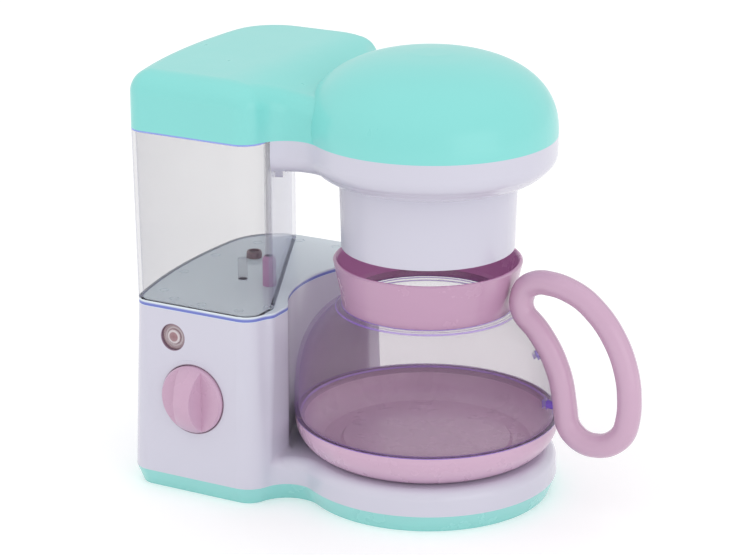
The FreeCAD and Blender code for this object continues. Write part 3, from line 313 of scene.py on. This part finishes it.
def thin_tube():
    material, shader, place = blank("thin_tube")
    cloud = noise(place, 120.0, 2.0)
    facing = place.out("ShaderNodeLayerWeight", None, {"Blend": 0.5}, "Facing") ** 2.0
    join(blend(place, facing, colour(216, 212, 222), colour(196, 186, 214)), shader, "Base Color")
    join(facing * 0.4 + (cloud * 0.04 + 0.06), shader, "Alpha")
    join(cloud * 0.08 + 0.12, shader, "Roughness")
    return material


dress(thin_tube(), "water_hose")


# The head is a white bowl and arm in one moulding that hooks over the tank's wall. The basket, a round
# cup with drip holes, is screwed up under the bowl, and a white spout leads the water into it.
dress(moulded("head_moulding", white, 0.24, 0.05, 0.35, 0.97), "head_shell", "filter_basket", "drip_spout")


# The cover is one glossy teal moulding over the tank, the arm and the bowl. It lifts straight off, and
# a rib inside its seam keeps it in place on the head.
dress(moulded("teal_cover", colour(138, 224, 219), 0.3, 0.04, 0.15, 0.97), "top_cover")


# The carafe's foot and its funnel collar are pink mouldings, cemented to the jar. Inside, the collar is
# painted a deeper pink: painted light, standing in for the coloured light its walls bounce onto each other.
def collar_painted_bounce(place):
    """One within the collar's flaring outer face, set half a millimetre behind it: the inside, which gets the
    painted bounce light.
    """
    foot_z = 0.0930
    foot_r = 0.0386
    flare = 0.21
    outside = (along(place, "Z") - foot_z) * flare + foot_r
    reach = (along(place, "X") ** 2 + along(place, "Y") ** 2) ** 0.5
    return ramp(reach - outside, 0.0, -0.0005) * 0.9


dress(moulded("pink_foot", colour(214, 178, 204), 0.28, 0.05, 0.25, 0.95), "carafe_base")
dress(moulded("pink_collar", colour(202, 160, 190), 0.26, 0.05, 0.3, 0.95,
              (colour(214, 142, 194), collar_painted_bounce)), "carafe_collar")


# The jar is clear and slightly violet. Its cemented joints with the foot and the collar show as purple
# lines, and so do the bead under the collar and the two studs that hold the handle.
def ring_at(height, half, soft):
    """A level line round the jar."""
    return lambda place: near(along(place, "Z"), height, half, soft)


def studs(place):
    height = along(place, "Z")
    stud_r = 0.0019
    soft = 0.0002
    pair = near(height, 0.0490, stud_r, soft) + near(height, 0.0715, stud_r, soft)
    return pair * ramp(along(place, "X"), 0.0520, 0.0530) * near(along(place, "Y"), 0.0, stud_r, soft)


violet = colour(172, 134, 228)
foot_joint = ring_at(0.0352, 0.0003, 0.0004)
neck_joint = ring_at(0.0870, 0.0002, 0.0003)
neck_bead = ring_at(0.0857, 0.0003, 0.0003)
jar_lines = [(violet, 0.75, foot_joint), (violet, 0.7, neck_joint), (violet, 0.6, neck_bead),
             (colour(130, 90, 220), 0.7, studs)]
dress(clear_plastic("clear_jar", colour(166, 136, 162), colour(178, 146, 222), 0.14, jar_lines), "carafe_jar")


# The handle is a hollow pink loop in two halves, welded along its middle, where a fine line shows. It
# is pressed over the jar's two studs.
def weld_line(place):
    return near(along(place, "Y"), 0.0, 0.00012, 0.0002) * 0.55


dress(moulded("pink_handle", pink, 0.24, 0.05, 0.35, 0.95, (colour(160, 124, 158), weld_line)),
      "handle_front", "handle_rear")


# The toy stands on a plain pale floor that reaches past the picture on every side.
def pale_floor():
    """A matt floor that looks white where no shadow falls on it."""
    material, shader, place = blank("pale_floor")
    shader.inputs["Base Color"].default_value = (0.92, 0.92, 0.92, 1.0)
    shader.inputs["Roughness"].default_value = 0.9
    shader.inputs["Specular IOR Level"].default_value = 0.1
    tree = material.node_tree
    lifted = tree.nodes.new("ShaderNodeAddShader")
    glow = tree.nodes.new("ShaderNodeEmission")
    glow.inputs["Strength"].default_value = 0.2
    tree.links.new(shader.outputs[0], lifted.inputs[0])
    tree.links.new(glow.outputs[0], lifted.inputs[1])
    mixer = tree.nodes.new("ShaderNodeMixShader")
    join(seen_directly(place), mixer, 0)
    tree.links.new(shader.outputs[0], mixer.inputs[1])
    tree.links.new(lifted.outputs[0], mixer.inputs[2])
    tree.links.new(mixer.outputs[0], tree.nodes["Material Output"].inputs["Surface"])
    return material


def seen_directly(place):
    """One for what the camera sees, by itself or in gloss and glass."""
    rays = place.make("ShaderNodeLightPath")
    looks = [Link(place.tree, rays.outputs[kind]) for kind in
             ("Is Camera Ray", "Is Glossy Ray", "Is Transmission Ray")]
    return looks[0] + looks[1] + looks[2]


floor_reach = 6.0
floor_mesh = bpy.data.meshes.new("floor")
floor_shape = bmesh.new()
bmesh.ops.create_grid(floor_shape, x_segments=2, y_segments=2, size=floor_reach)
floor_shape.to_mesh(floor_mesh)
floor_shape.free()
floor = bpy.data.objects.new("floor", floor_mesh)
bpy.context.collection.objects.link(floor)
floor_mesh.materials.append(pale_floor())


# Round it is a soft, even studio: a white room and three large square lamps.
world = bpy.data.worlds.new("studio")
world.use_nodes = True
bpy.context.scene.world = world
room = world.node_tree
room_light = room.nodes["Background"]
room_light.inputs["Color"].default_value = (1.0, 1.0, 1.0, 1.0)
room_light.inputs["Strength"].default_value = 0.92
room_seen = room.nodes.new("ShaderNodeBackground")
room_seen.inputs["Strength"].default_value = 1.0
room_mix = room.nodes.new("ShaderNodeMixShader")
join(seen_directly(Link(room, None)), room_mix, 0)
room.links.new(room_light.outputs[0], room_mix.inputs[1])
room.links.new(room_seen.outputs[0], room_mix.inputs[2])
room.links.new(room_mix.outputs[0], room.nodes["World Output"].inputs["Surface"])


def square_lamp(name, place, size, power):
    data = bpy.data.lights.new(name, "AREA")
    data.shape = "SQUARE"
    data.size = size
    data.energy = power
    light = bpy.data.objects.new(name, data)
    light.location = place
    aim = toy_middle - Vector(place)
    light.rotation_euler = aim.to_track_quat("-Z", "Y").to_euler()
    bpy.context.collection.objects.link(light)


toy_middle = Vector((-0.01, 0.0, 0.1))
square_lamp("overhead", (0.1, -0.3, 1.3), 1.8, 1.5)
square_lamp("left_side", (-1.1, -0.7, 0.8), 1.4, 0.8)
square_lamp("right_side", (1.25, -0.55, 0.3), 1.0, 2.2)


# The camera has a narrow lens. It looks down on the toy from the front and from the carafe's side.
looking_down = 18.34
turned_round = 28.58
camera_data = bpy.data.cameras.new("camera")
camera_data.sensor_width = 36.0
camera_data.lens = 124.8
camera_data.clip_end = 50.0
camera = bpy.data.objects.new("camera", camera_data)
camera.location = (0.5049, -0.9760, 0.4625)
camera.rotation_euler = (math.radians(90 - looking_down), 0.0, math.radians(turned_round))
bpy.context.collection.objects.link(camera)
bpy.context.scene.camera = camera
bpy.context.scene.view_settings.view_transform = "Standard"
